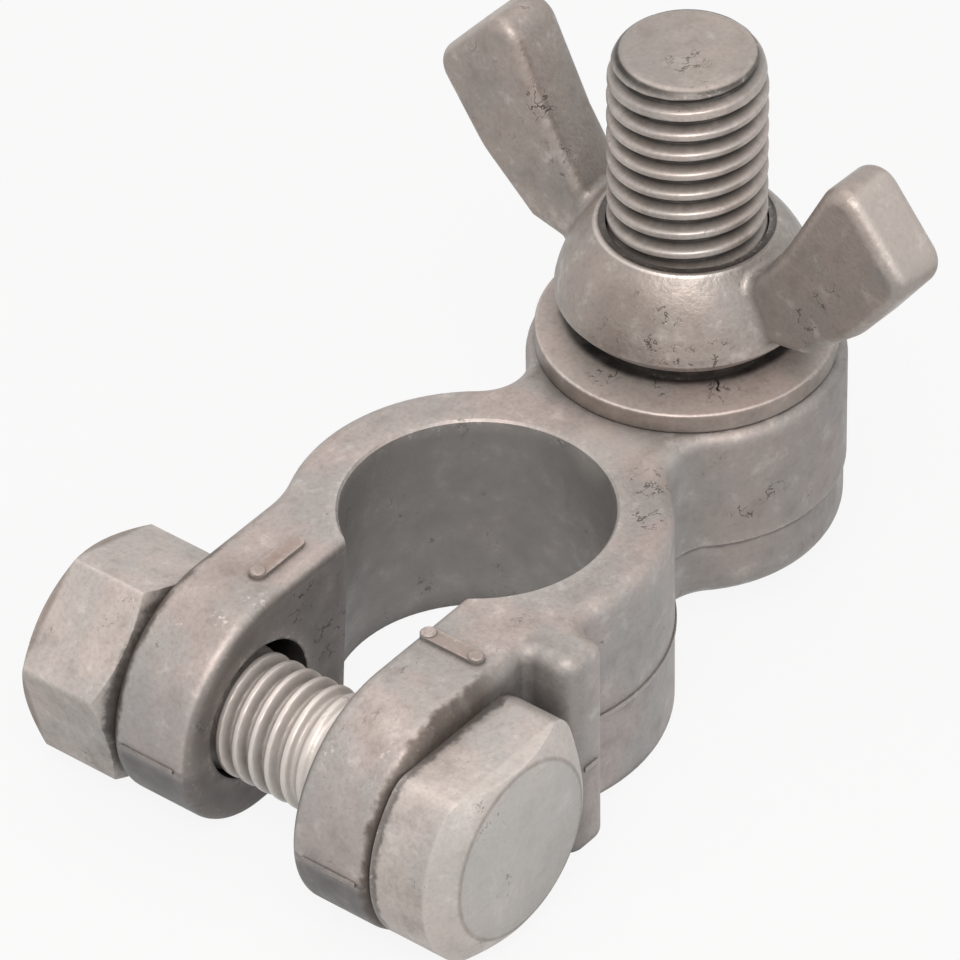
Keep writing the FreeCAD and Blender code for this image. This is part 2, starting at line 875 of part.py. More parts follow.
def head_corner(edge):
    b = edge.BoundBox
    upright_line = b.XLength < NEAR and b.ZLength < NEAR and near(b.YLength, S["head_height"])
    top = near(b.XMin, -top_run) and near(b.ZMin, S["head_top"])
    foot = near(b.XMin, -foot_run) and near(b.ZMin, -S["head_foot"])
    return upright_line and (top or foot)


round_edges(bolt, "HeadCorners", head_corner, bend)
head_outer = root(S["head_side"] * S["head_side"] + S["head_foot"] * S["head_foot"])
cone_chamfer(
    bolt,
    "HeadChamfer",
    -(ear_face + S["head_height"]),
    1,
    S["head_face_radius"],
    head_outer,
    S["head_chamfer_angle"],
)
shank = new_sketch(bolt, "XZ_Plane", "BoltShankOutline", ear_face)
circle(shank, ZERO, ZERO, S["bolt_radius"])
pad(bolt, shank, "BoltShank", S["bolt_length"], reverse=True)
bolt_end = S["bolt_length"] - ear_face
round_edges(bolt, "BoltEnd", lambda e: near(e.BoundBox.YMin, bolt_end), S["bolt_chamfer"], "Chamfer")
cut_thread(
    bolt,
    "XY_Plane",
    "BoltThread",
    S["bolt_radius"],
    S["bolt_thread_start"],
    bolt_end,
    S["bolt_pitch"],
    S["bolt_thread_depth"],
)


# clamp_nut: hexagon nut seated on the far ear

nut = new_body("clamp_nut", x=-S["bolt_x"], z=S["bolt_z"])
flats = hexagon(new_sketch(nut, "XZ_Plane", "NutOutline", -ear_face), S["hex_turn"])
pad(nut, flats, "NutBlock", S["nut_height"], reverse=True)
round_edges(nut, "NutCorners", hex_corner_edge, S["nut_corner_round"])
hex_inner = S["hex_flats"] / 2 - S["hex_face_inset"]
hex_outer = hex_corner + S["hex_face_inset"]
for name, face_y, inward in (
    ("NutInnerChamfer", ear_face, 1),
    ("NutOuterChamfer", ear_face + S["nut_height"], -1),
):
    cone_chamfer(nut, name, face_y, inward, hex_inner, hex_outer, S["hex_chamfer_angle"])
thread = new_sketch(nut, "XZ_Plane", "NutBoreOutline")
circle(thread, ZERO, ZERO, S["bolt_radius"] + S["screw_clearance"])
pocket(nut, thread, "NutBore", middle=True)


def nut_mouth(edge):
    b = edge.BoundBox
    return b.YLength < NEAR and near(b.XLength, 2 * (S["bolt_radius"] + S["screw_clearance"]))


round_edges(nut, "NutCountersinks", nut_mouth, S["nut_countersink"], "Chamfer")


# Every object must be sound before anything is written

doc.recompute()
bad = [item.Name for item in doc.Objects if "Invalid" in item.State or "Error" in item.State]
if bad:
    raise RuntimeError("unsound objects: %s" % ", ".join(bad))
for part in (body, stud, washer, wing_nut, bolt, nut):
    shape = part.Shape
    if not shape.isValid() or len(shape.Solids) != 1:
        raise RuntimeError("%s is not one sound solid" % part.Label)
    shape.exportStep("parts/%s.step" % part.Label)
    print(part.Label, round(shape.Volume, 1), shape.BoundBox)
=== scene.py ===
import math

import bmesh
import bpy
import numpy as np
from mathutils import Matrix, Vector


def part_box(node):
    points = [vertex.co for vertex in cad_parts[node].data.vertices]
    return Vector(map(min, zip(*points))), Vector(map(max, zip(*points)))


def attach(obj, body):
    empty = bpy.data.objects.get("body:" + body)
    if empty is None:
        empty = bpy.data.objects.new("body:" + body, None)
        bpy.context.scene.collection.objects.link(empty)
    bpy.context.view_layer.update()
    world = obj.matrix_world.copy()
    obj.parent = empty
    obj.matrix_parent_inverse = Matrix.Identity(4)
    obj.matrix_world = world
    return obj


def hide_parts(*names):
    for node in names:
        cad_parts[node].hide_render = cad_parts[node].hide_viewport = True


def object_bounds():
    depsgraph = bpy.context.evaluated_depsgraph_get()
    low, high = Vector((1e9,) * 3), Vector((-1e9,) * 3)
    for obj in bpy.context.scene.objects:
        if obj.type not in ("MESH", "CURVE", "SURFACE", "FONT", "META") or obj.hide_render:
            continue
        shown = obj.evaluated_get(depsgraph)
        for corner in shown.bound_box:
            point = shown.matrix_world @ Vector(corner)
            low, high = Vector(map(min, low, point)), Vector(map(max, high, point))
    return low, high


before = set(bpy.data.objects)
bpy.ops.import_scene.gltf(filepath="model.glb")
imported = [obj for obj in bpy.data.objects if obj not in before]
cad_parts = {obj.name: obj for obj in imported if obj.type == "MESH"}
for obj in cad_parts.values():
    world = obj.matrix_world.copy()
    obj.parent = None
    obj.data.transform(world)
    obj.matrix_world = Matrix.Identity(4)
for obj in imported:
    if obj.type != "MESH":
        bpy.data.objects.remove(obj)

# Battery terminal clamp with a threaded stud, wing nut and clamp bolt, in a satin plated finish.
# The frame is in metres, so lengths are written in millimetres times MM.

MM = 0.001
CAD_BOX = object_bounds()

# Camera, found from the photograph's perspective
CAMERA_AZIMUTH = math.radians(-51.247)
CAMERA_ELEVATION = math.radians(39.084)
CAMERA_ROLL = math.radians(-0.7204)
CAMERA_ASIDE = -0.00776 * MM
CAMERA_RAISED = 13.62838 * MM
CAMERA_AWAY = 642.686 * MM
SENSOR_WIDTH = 36.0
LENS = 390.84
CLIP_NEAR = 0.01
CLIP_FAR = 20.0

# Floor and daylight
FLOOR_GAP = 0.02 * MM
FLOOR_REACH = 2.5
FLOOR_GREY = (0.44, 0.44, 0.44, 1.0)
FLOOR_ROUGHNESS = 0.9
FLOOR_WHITENESS = 0.90
DAYLIGHT = 0.31
WHITE = (1.0, 1.0, 1.0, 1.0)

# Stud and clamp bolt
STUD_PITCH = 1.5 * MM
STUD_RADIUS = 4.97 * MM
STUD_THREAD_DEPTH = 0.80 * MM
STUD_THREAD_START = 9.0 * MM
STUD_LEAD = 3.5 * MM
STUD_LEAD_RADIUS = 3.9 * MM
STUD_HEAD_HEIGHT = 3.2 * MM
STUD_HEAD_ROUND = 0.35 * MM
STUD_HEAD_SQUARENESS = 14.0
STUD_CORNER_STEPS = 6
STUD_CAP_STEPS = 14
STUD_FOOT_SHARE = 0.5
STUD_NECK_SHARE = 1.05
STUD_TOP_DISH = 0.16 * MM
DISH_LOBES = 2.0
DISH_SWIRL = 7.0
DISH_WAVE = 0.4
BOLT_PITCH = 1.25 * MM
BOLT_RADIUS = 3.97 * MM
BOLT_THREAD_DEPTH = 0.62 * MM
BOLT_THREAD_START = -2.0 * MM
BOLT_THREAD_FADE = -4.7 * MM
BOLT_THREAD_FULL = BOLT_THREAD_START + 3.2 * BOLT_PITCH
BOLT_CHAMFER = 0.9 * MM
BOLT_HEAD_SEAT = -10.6 * MM
BOLT_HEAD_INSIDE = -13.0 * MM
BOLT_RISE = 7.4 * MM
BOLT_BACK = -16.05 * MM
COLUMNS = 120
ROWS_PER_TURN = 22
WELD = 0.002 * MM
HEAD_CUT = 0.05 * MM
SHARP_ANGLE = math.radians(18.0)

# Finishes
AO_SAMPLES = 2
SPOT_CORE = 0.45
BUMP_STRENGTH = 0.6
BUMP_DEPTH = 0.05 * MM


def smooth(value, low, high):
    """Rises from 0 at low to 1 at high along 3t^2 - 2t^3."""
    part = np.clip((value - low) / (high - low), 0.0, 1.0)
    return part * part * (3.0 - 2.0 * part)


def thread_cut(place, angle, pitch, crest_share=0.16, root_share=0.10):
    """Share of the thread's depth that is cut away at a place along the axis and an angle round it.

    The place in the turn is place / pitch - angle / 2 pi, so the crest climbs one pitch in each turn of a
    right-hand helix. From the crest to the root the cut follows (1 - cos) / 2, with a flat at either end.
    """
    turn = place / pitch - angle / (2.0 * np.pi)
    off_crest = 2.0 * np.abs(turn - np.floor(turn) - 0.5)
    flank = np.clip((off_crest - crest_share) / (1.0 - crest_share - root_share), 0.0, 1.0)
    return 0.5 - 0.5 * np.cos(np.pi * flank)


def closed_surface(name, rings, first_pole, last_pole):
    """Mesh object over points in rings, closed round each ring and by a fan to a pole at either end."""
    rows, columns, _ = rings.shape
    points = np.vstack([rings.reshape(-1, 3), first_pole, last_pole])
    row, column = np.meshgrid(np.arange(rows - 1), np.arange(columns), indexing="ij")
    here = (row * columns + column).ravel()
    beside = (row * columns + (column + 1) % columns).ravel()
    quads = np.stack([here, beside, beside + columns, here + columns], axis=1)
    edge = np.arange(columns)
    next_edge = (edge + 1) % columns
    last_row = (rows - 1) * columns
    start = np.stack([next_edge, edge, np.full(columns, rows * columns)], axis=1)
    end = np.stack([last_row + edge, last_row + next_edge, np.full(columns, rows * columns + 1)], axis=1)
    mesh = bpy.data.meshes.new(name)
    mesh.from_pydata(points.tolist(), [], quads.tolist() + start.tolist() + end.tolist())
    mesh.shade_smooth()
    mesh.validate()
    piece = bpy.data.objects.new(name, mesh)
    bpy.context.collection.objects.link(piece)
    return piece


def stud_piece():
    """The terminal stud: a square head, a plain shank and a rounded thread up to a slightly dished end.

    Each ring is a superellipse, radius = half / (|cos a|^p + |sin a|^p)^(1/p), with a high p in the square
    head and p 2 in the shank. Above the start of the thread the radius is the smaller of two: the thread's
    own, and a lead-in, end + (full - end) * sqrt(1 - t^3), that narrows as t climbs from 0 to 1. The end is
    dished by dish * sin(pi s / 2) from its rim, s 0, to its middle, s 1, and two lobes that swirl inwards
    make the dish uneven.
    """
    low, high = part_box("stud")
    centre = (low + high) / 2.0
    half = (high.x - low.x) / 2.0
    head_top = low.z + STUD_HEAD_HEIGHT
    angle = np.linspace(0.0, 2.0 * np.pi, COLUMNS, endpoint=False)
    corner = np.linspace(0.0, np.pi / 2.0, STUD_CORNER_STEPS)
    head_half = np.concatenate([
        [half * STUD_FOOT_SHARE],
        half - STUD_HEAD_ROUND * (1.0 - np.sin(corner)),
        half - STUD_HEAD_ROUND * (1.0 - np.cos(corner)),
        [STUD_RADIUS * STUD_NECK_SHARE],
    ])
    head_z = np.concatenate([
        [low.z],
        low.z + STUD_HEAD_ROUND * (1.0 - np.cos(corner)),
        head_top - STUD_HEAD_ROUND * (1.0 - np.sin(corner)),
        [head_top],
    ])
    head_power = np.full(head_half.shape, STUD_HEAD_SQUARENESS)
    head_power[-1] = 2.0
    share = np.abs(np.cos(angle)) ** head_power[:, None] + np.abs(np.sin(angle)) ** head_power[:, None]
    head_radius = head_half[:, None] / share ** (1.0 / head_power[:, None])
    rows = int((high.z - head_top) / STUD_PITCH * ROWS_PER_TURN)
    shank_z = np.linspace(head_top, high.z, rows)
    threaded = smooth(shank_z, STUD_THREAD_START, STUD_THREAD_START + STUD_PITCH)
    cut = thread_cut(shank_z[:, None] - STUD_THREAD_START, angle[None, :], STUD_PITCH)
    thread_radius = STUD_RADIUS - STUD_THREAD_DEPTH * cut * threaded[:, None]
    climb = np.clip((shank_z - (high.z - STUD_LEAD)) / STUD_LEAD, 0.0, 1.0)
    lead = STUD_LEAD_RADIUS + (STUD_RADIUS - STUD_LEAD_RADIUS) * np.sqrt(1.0 - climb ** 3)
    shank_radius = np.minimum(thread_radius, lead[:, None])
    rim = np.linspace(0.0, 1.0, STUD_CAP_STEPS)[1:-1]
    cap_radius = STUD_LEAD_RADIUS * (1.0 - rim[:, None]) * np.ones_like(angle)
    swirl = np.sin(DISH_LOBES * angle[None, :] + DISH_SWIRL * rim[:, None])
    flow = 0.5 + 0.5 * swirl * np.sin(np.pi * rim[:, None])
    dish = np.sin(np.pi * rim[:, None] / 2.0) * (1.0 - DISH_WAVE + DISH_WAVE * flow)
    cap_z = high.z - STUD_TOP_DISH * dish
    radius = np.vstack([head_radius, shank_radius, cap_radius])
    height = np.vstack([
        np.repeat(head_z[:, None], COLUMNS, axis=1),
        np.repeat(shank_z[:, None], COLUMNS, axis=1),
        cap_z,
    ])
    rings = np.stack([
        centre.x + radius * np.cos(angle),
        centre.y + radius * np.sin(angle),
        height,
    ], axis=2)
    foot = (centre.x, centre.y, low.z)
    top = (centre.x, centre.y, high.z - STUD_TOP_DISH * (1.0 - 0.5 * DISH_WAVE))
    piece = closed_surface("stud_threaded", rings, foot, top)
    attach(piece, "clamp")
    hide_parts("stud")
    return piece


def bolt_shank():
    """The clamp bolt's shank: a closed right-hand thread along Y, chamfered at its end.

    Radius = the smaller of the thread's radius and a straight chamfer at the end. The first ring lies inside
    the head.
    """
    low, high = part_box("clamp_bolt")
    angle = np.linspace(0.0, 2.0 * np.pi, COLUMNS, endpoint=False)
    rows = int((high.y - BOLT_HEAD_INSIDE) / BOLT_PITCH * ROWS_PER_TURN)
    along = np.linspace(BOLT_HEAD_INSIDE, high.y, rows)
    threaded = smooth(along, BOLT_THREAD_FADE, BOLT_THREAD_FULL)
    round_from_x = angle[None, :] - np.pi / 2.0
    cut = thread_cut(along[:, None] - BOLT_THREAD_START, round_from_x, BOLT_PITCH)
    thread_radius = BOLT_RADIUS - BOLT_THREAD_DEPTH * cut * threaded[:, None]
    chamfer = BOLT_RADIUS - np.clip(along - (high.y - BOLT_CHAMFER), 0.0, None)
    radius = np.minimum(thread_radius, chamfer[:, None])
    rings = np.stack([
        BOLT_BACK + radius * np.sin(angle),
        np.repeat(along[:, None], COLUMNS, axis=1),
        BOLT_RISE + radius * np.cos(angle),
    ], axis=2)
    return closed_surface(
        "bolt_threaded", rings, (BOLT_BACK, BOLT_HEAD_INSIDE, BOLT_RISE), (BOLT_BACK, high.y, BOLT_RISE)
    )


def bolt_piece():
    """The clamp bolt: the head keeps the solid's own form, and the shank gets its thread."""
    piece = bolt_shank()
    mesh = bmesh.new()
    mesh.from_mesh(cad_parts["clamp_bolt"].data)
    bmesh.ops.remove_doubles(mesh, verts=mesh.verts, dist=WELD)
    shank = [vert for vert in mesh.verts if vert.co.y > BOLT_HEAD_SEAT + HEAD_CUT]
    bmesh.ops.delete(mesh, geom=shank, context="VERTS")
    bmesh.ops.holes_fill(mesh, edges=[edge for edge in mesh.edges if edge.is_boundary], sides=0)
    bmesh.ops.recalc_face_normals(mesh, faces=mesh.faces)
    head = bpy.data.meshes.new("bolt_head")
    mesh.to_mesh(head)
    mesh.free()
    mesh = bmesh.new()
    mesh.from_mesh(piece.data)
    mesh.from_mesh(head)
    mesh.to_mesh(piece.data)
    mesh.free()
    bpy.data.meshes.remove(head)
    piece.data.shade_smooth()
    piece.data.set_sharp_from_angle(angle=SHARP_ANGLE)
    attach(piece, "bolt")
    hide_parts("clamp_bolt")
    return piece


class Field:
    """A number that varies over a surface: wraps a socket, so that sums on it add their own Math nodes."""

    def __init__(self, finish, socket):
        self.finish = finish
        self.socket = socket

    def sum(self, operation, *values):
        return self.finish.number("ShaderNodeMath", {"operation": operation}, *values)

    def __add__(self, other):
        return self.sum("ADD", self, other)

    def __radd__(self, other):
        return self.sum("ADD", other, self)

    def __sub__(self, other):
        return self.sum("SUBTRACT", self, other)

    def __rsub__(self, other):
        return self.sum("SUBTRACT", other, self)

    def __mul__(self, other):
        return self.sum("MULTIPLY", self, other)

    def __rmul__(self, other):
        return self.sum("MULTIPLY", other, self)

    def __pow__(self, other):
        return self.sum("POWER", self, other)

    def __abs__(self):
        return self.sum("ABSOLUTE", self)

    def most(self, other):
        return self.sum("MAXIMUM", self, other)

    def above(self, low, high):
        """0 below low, 1 above high, and smooth between."""
        settings = {"interpolation_type": "SMOOTHSTEP"}
        return self.finish.number("ShaderNodeMapRange", settings, self, low, high)


class Finish:
    """One material's nodes."""

    def __init__(self, name):
        self.material = bpy.data.materials.new(name)
        self.material.use_nodes = True
        self.nodes = self.material.node_tree.nodes
        self.links = self.material.node_tree.links
        self.shader = self.nodes["Principled BSDF"]
        where = self.node("ShaderNodeTexCoord").outputs
        self.place = where["Object"]
        self.x, self.y, self.z = self.parts(self.place)
        self.up = self.parts(where["Normal"])[2]

    def node(self, kind, settings=None, *places, **inputs):
        """Adds a node: its settings first, then the values or links of its sockets, by place or by name."""
        node = self.nodes.new(kind)
        for name, value in (settings or {}).items():
            setattr(node, name, value)
        for name, value in list(enumerate(places)) + list(inputs.items()):
            key = name if isinstance(name, int) else name.replace("_", " ")
            self.feed(node.inputs[key], value)
        return node

    def feed(self, socket, value):
        if isinstance(value, Field):
            value = value.socket
        if isinstance(value, bpy.types.NodeSocket):
            self.links.new(value, socket)
        else:
            socket.default_value = value

    def number(self, kind, settings, *places, **inputs):
        return Field(self, self.node(kind, settings, *places, **inputs).outputs[0])

    def parts(self, socket):
        """The three numbers of a vector socket."""
        return [Field(self, output) for output in self.node("ShaderNodeSeparateXYZ", None, socket).outputs]

    def noise(
        self, size, detail=2.0, roughness=0.5, stretch=(1.0, 1.0, 1.0), turn=(0.0, 0.0, 0.0), shift=0.0
    ):
        """Noise whose lumps are about size across, in metres."""
        place = self.node(
            "ShaderNodeMapping", {"vector_type": "POINT"}, Vector=self.place,
            Location=(shift, shift * 0.7, shift * 1.3), Rotation=turn, Scale=stretch,
        ).outputs[0]
        return self.number(
            "ShaderNodeTexNoise", {"noise_dimensions": "3D"}, Vector=place,
            Scale=1.0 / size, Detail=detail, Roughness=roughness,
        )

    def near(self, spots):
        """1 at the middle of round spots, fading to 0 at their rims. A spot is x, y, z and radius in mm."""
        whole = 0.0
        for spot in spots:
            middle = [part * MM for part in spot[:3]]
            radius = spot[3] * MM
            off = self.node("ShaderNodeVectorMath", {"operation": "DISTANCE"}, self.place, middle)
            inside = 1.0 - Field(self, off.outputs["Value"]).above(SPOT_CORE * radius, radius)
            whole = inside.most(whole)
        return whole

    def closeness(self, reach, inside=False):
        """1 deep in a corner or gap narrower than reach, 0 in the open. Inside, it marks the edges."""
        settings = {"samples": AO_SAMPLES, "inside": inside}
        around = self.node("ShaderNodeAmbientOcclusion", settings, Distance=reach)
        return 1.0 - Field(self, around.outputs["AO"])

    def tint(self, share, below, above):
        """A colour between two colours, or sockets of colours."""
        node = self.node("ShaderNodeMix", {"data_type": "RGBA"})
        self.feed(node.inputs["Factor"], share)
        self.feed(node.inputs[6], below)
        self.feed(node.inputs[7], above)
        return node.outputs[2]


def shade(red, green, blue):
    """A colour written as it looks on a screen, 0 to 255, turned to the linear one that a node takes."""
    screen = np.array([red, green, blue]) / 255.0
    linear = np.where(screen <= 0.04045, screen / 12.92, ((screen + 0.055) / 1.055) ** 2.4)
    return (*linear.tolist(), 1.0)


# Colours that several finishes share, or that one place has
WARM = shade(174, 163, 158)
COOL = shade(160, 157, 154)
# Dark brown for scratches, pits and grime, and for painted shade in corners, grooves and gaps
GRIME_AND_SHADE = shade(46, 41, 36)
# Smoky grey for random clouding and stains, and for painted shade on faces that lean down, in grooves and on
# rims
SMOKE_AND_SHADE = shade(118, 108, 100)
# Pale for rubbed wear, and for painted highlights, glints and light on some faces
WORN_AND_HIGHLIGHT = shade(232, 226, 220)
# Painted shade on the walls of the post bore and the slot
WALL_PAINTED_SHADE = shade(118, 115, 110)
RUST = shade(134, 112, 100)
# Near black for a crack, and for painted shadow under the hub and in gaps and holes
SHADOW_AND_CRACK = shade(24, 20, 18)
# Painted shade low on the ears, where the faces turn down
LOW_PAINTED_SHADE = shade(62, 58, 56)
# Painted shade where the ears meet the bolt head and the nut
EAR_PAINTED_SHADE = shade(72, 61, 52)
# Painted shade in the slot between the ears
SLOT_PAINTED_SHADE = shade(92, 81, 75)
# Cool grey painted on upright walls for the cooler light that falls on the sides
SIDE_PAINTED_LIGHT = shade(156, 156, 156)
# Painted light on the bolt head's flat front, cool like the light on that side
HEAD_DISC_PAINTED_LIGHT = shade(192, 192, 189)

# Heights and reaches on the piece, for finishes that change from place to place
PARTING_HEIGHT = 6.75 * MM
RING_TOP = 15.4 * MM
BORE_REACH = 9.3 * MM
SLOT_REACH = 4.7 * MM
STUD_AXIS = 20.9 * MM
HUB_BELLY = 17.7 * MM
WASHER_FACE = 16.8 * MM
HUB_TOP = 24.8 * MM
HUB_RIM = 5.75 * MM
EAR_FACE = 10.6 * MM
HOLE_BACK = -15.8 * MM
HOLE_RISE = 7.7 * MM
HOLE_RADIUS = 4.6 * MM
NUT_SEAT = 10.6 * MM
NUT_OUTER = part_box("clamp_nut")[1].y
WING_END_REACH = 22.0 * MM
WING_END_OUT = 0.757
WING_END_UP = 0.653
HEAD_FRONT = -15.9 * MM
HEAD_DISC = 5.9 * MM
STUD_PLAIN_TOP = 7.0 * MM
CRACK_X = 17.04 * MM
CRACK_Y = -5.35 * MM
CRACK_RUN_X = 0.698
CRACK_RUN_Y = 0.716


def apart(aside, along):
    """Length of the two legs together: the root of the sum of their squares."""
    return (aside * aside + along * along) ** 0.5


def from_bolt(finish):
    """Distance from the clamp bolt's axis."""
    return apart(finish.x - BOLT_BACK, finish.z - BOLT_RISE)


def from_stud(finish):
    """Distance from the stud's axis."""
    return apart(finish.x - STUD_AXIS, finish.y)


def ragged(finish):
    """A wavering length of up to about 0.3 mm either way, added to a distance to fray a zone's border."""
    return (finish.noise(1.0 * MM, 3.0, 0.60, shift=0.23) - 0.5) * (1.15 * MM)


def side_walls(finish):
    """1 on upright walls."""
    return 1.0 - abs(finish.up).above(0.35, 0.8)


def cast_walls(finish):
    """1 on the upright walls of the post bore and of the slot between the ears, 0 elsewhere."""
    in_bore = 1.0 - apart(finish.x, finish.y).above(BORE_REACH, BORE_REACH + 0.2 * MM)
    in_slot = (1.0 - abs(finish.y).above(SLOT_REACH, SLOT_REACH + 0.3 * MM)) * (
        1.0 - finish.x.above(-6.0 * MM, -5.5 * MM)
    )
    return in_bore.most(in_slot) * side_walls(finish)


def parting_line(finish):
    """1 in a thin band at the height where the two halves of the mould met, on upright walls."""
    upright = 1.0 - abs(finish.up).above(0.5, 0.9)
    band = 1.0 - abs(finish.z - PARTING_HEIGHT + 0.4 * ragged(finish)).above(0.10 * MM, 0.26 * MM)
    clear = finish.x.above(8.5 * MM, 11.0 * MM) + 1.0 - finish.x.above(-10.0 * MM, -7.0 * MM)
    return band * upright * (0.25 + 0.75 * clear) * (1.0 - cast_walls(finish))


def raised_bars(finish):
    """1 on what stands above the ring's top face."""
    return finish.z.above(RING_TOP + 0.06 * MM, RING_TOP + 0.12 * MM)


def low_down(finish):
    """1 low on the ears, up to the parting line."""
    low = 1.0 - finish.z.above(PARTING_HEIGHT - 0.9 * MM, PARTING_HEIGHT + 0.2 * MM)
    return low * (1.0 - finish.x.above(-12.0 * MM, -6.0 * MM))


def head_ring(finish):
    """1 in a thin ring on the bolt head's front, where its chamfer meets the flat disc."""
    front = 1.0 - finish.y.above(HEAD_FRONT + 0.05 * MM, HEAD_FRONT + 0.4 * MM)
    return (1.0 - abs(from_bolt(finish) - HEAD_DISC).above(0.05 * MM, 0.22 * MM)) * front


def head_bevel(finish):
    """1 on the bolt head's chamfer, outside the flat disc."""
    front = 1.0 - finish.y.above(HEAD_FRONT + 1.2 * MM, HEAD_FRONT + 1.5 * MM)
    return from_bolt(finish).above(HEAD_DISC, HEAD_DISC + 0.2 * MM) * front


def under_hub(finish):
    """1 low on the hub of the wing nut, fading out at its belly."""
    return 1.0 - finish.z.above(HUB_BELLY, HUB_BELLY + 0.7 * MM)


def wing_ends(finish):
    """1 on the slanting end faces of the wings: out from the stud and up from the washer past one plane."""
    reach = abs(finish.y) * WING_END_OUT + (finish.z - WASHER_FACE) * WING_END_UP
    return reach.above(WING_END_REACH, WING_END_REACH + 0.3 * MM)


def hub_stain(finish):
    """1 on the browner side of the hub's front."""
    return finish.near([(13.0, -1.2, 22.2, 3.4)])


def hub_mouth(finish):
    """1 on the narrow ledge round the stud, inside the hub's rim."""
    inside = 1.0 - from_stud(finish).above(HUB_RIM - 0.28 * MM, HUB_RIM - 0.18 * MM)
    return inside * finish.up.above(0.9, 0.97)


def hub_rim(finish):
    """1 on the edge where the hub's dome meets that ledge."""
    high = finish.z.above(HUB_TOP - 0.35 * MM, HUB_TOP - 0.2 * MM)
    front = 1.0 - finish.x.above(15.5 * MM, 20.0 * MM)
    return (1.0 - abs(from_stud(finish) - HUB_RIM).above(0.06 * MM, 0.15 * MM)) * high * front


def stud_end(finish):
    """1 on the stud's flat end."""
    return finish.up.above(0.75, 0.95)


def stud_roots(finish):
    """1 in the grooves of the stud's thread."""
    low = STUD_RADIUS - 0.75 * STUD_THREAD_DEPTH
    high = STUD_RADIUS - 0.35 * STUD_THREAD_DEPTH
    above_head = finish.z.above(STUD_PLAIN_TOP, STUD_PLAIN_TOP + 1.0 * MM)
    return (1.0 - from_stud(finish).above(low, high)) * (1.0 - stud_end(finish)) * above_head


def bolt_roots(finish):
    """1 in the grooves of the clamp bolt's thread."""
    root = BOLT_RADIUS - BOLT_THREAD_DEPTH
    deep = 1.0 - from_bolt(finish).above(root + 0.1 * MM, root + 0.37 * MM)
    return deep * bolt_shaft(finish)


def bolt_shaft(finish):
    """1 on the bolt's shank."""
    return finish.y.above(BOLT_HEAD_SEAT, BOLT_HEAD_SEAT + 0.2 * MM)


def head_disc(finish):
    """1 on the bolt head's flat front, inside its ring."""
    inside = 1.0 - from_bolt(finish).above(HEAD_DISC - 0.3 * MM, HEAD_DISC)
    return inside * (1.0 - finish.y.above(HEAD_FRONT + 0.2 * MM, HEAD_FRONT + 0.4 * MM))


def head_foot(finish):
    """1 on the bolt head close to the ear that it bears on, with a frayed border."""
    along = finish.y + ragged(finish)
    return along.above(BOLT_HEAD_SEAT - 0.70 * MM, BOLT_HEAD_SEAT - 0.30 * MM) * (1.0 - bolt_shaft(finish))


def nut_rim(finish):
    """1 on the chamfer round the clamp nut's outer face."""
    return finish.y.above(NUT_OUTER - 1.0 * MM, NUT_OUTER - 0.6 * MM) * (
        1.0 - finish.y.above(NUT_OUTER - 0.08 * MM, NUT_OUTER - 0.03 * MM)
    )


def nut_foot(finish):
    """1 on the clamp nut close to the ear that it bears on, with a frayed border."""
    return 1.0 - (finish.y + ragged(finish)).above(NUT_SEAT + 0.20 * MM, NUT_SEAT + 0.60 * MM)


def facing_down(finish):
    """1 on faces that lean down."""
    return 1.0 - finish.up.above(-0.6, -0.1)


def ear_faces(finish):
    """1 where the rounded edges of the ears roll over into the faces under the bolt head and the nut."""
    out = (abs(finish.y) + ragged(finish)).above(EAR_FACE - 0.95 * MM, EAR_FACE - 0.45 * MM)
    faded = 1.0 - 0.75 * finish.x.above(-13.5 * MM, -10.5 * MM)
    return out * faded * (1.0 - finish.x.above(-8.0 * MM, -6.5 * MM))


def slot_walls(finish):
    """1 on the walls of the slot between the ears."""
    return cast_walls(finish) * (1.0 - finish.x.above(-7.5 * MM, -6.5 * MM))


def bolt_holes(finish):
    """1 on the walls of the holes that the bolt passes through."""
    off = apart(finish.x - HOLE_BACK, finish.z - HOLE_RISE)
    return 1.0 - off.above(HOLE_RADIUS + 0.03 * MM, HOLE_RADIUS + 0.15 * MM)


def ear_glints(finish):
    """1 in small bright flecks on the rounded edges of both ears: painted glints, partly rubbed clean."""
    spots = finish.near([
        (-20.3, -8.9, 14.9, 1.5), (-22.2, -8.9, 13.4, 1.4), (-21.9, -5.3, 13.5, 1.4),
        (-17.1, 6.0, 15.2, 1.1), (-19.0, 8.4, 14.8, 1.3), (-14.9, 5.2, 15.2, 0.9),
    ])
    return spots * finish.noise(0.36 * MM, 3.0, 0.6, shift=0.67).above(0.56, 0.70)


def far_ear_top(finish):
    """1 on the stained top of the far ear."""
    return finish.near([(-15.8, 6.9, 15.4, 5.0)])


def boss_wall(finish):
    """1 on the upright wall round the stud."""
    return side_walls(finish) * finish.x.above(11.0 * MM, 13.5 * MM)


def neck_top(finish):
    """1 on the lightened top between the post ring and the washer: partly rubbed wear, partly a painted
    highlight.
    """
    return finish.near([(9.6, -2.6, 15.4, 3.2), (10.2, -6.6, 14.8, 2.2)])


def round_stud(finish):
    """1 near the stud on the washer's face, a little more to one side, fading outwards."""
    off = apart(finish.x - STUD_AXIS - 1.2 * MM, finish.y - 1.0 * MM)
    return 1.0 - off.above(7.5 * MM, 8.1 * MM)


def washer_crack(finish):
    """1 in a short wavering crack on the washer's face: a thin band along one line, cut off at its ends."""
    aside = finish.x - CRACK_X
    off = finish.y - CRACK_Y
    waver = (finish.noise(0.6 * MM) - 0.5) * (0.6 * MM)
    across = CRACK_RUN_Y * aside - CRACK_RUN_X * off + waver
    along = CRACK_RUN_X * aside + CRACK_RUN_Y * off
    return (1.0 - abs(across).above(0.04 * MM, 0.11 * MM)) * (1.0 - abs(along).above(0.55 * MM, 0.80 * MM))


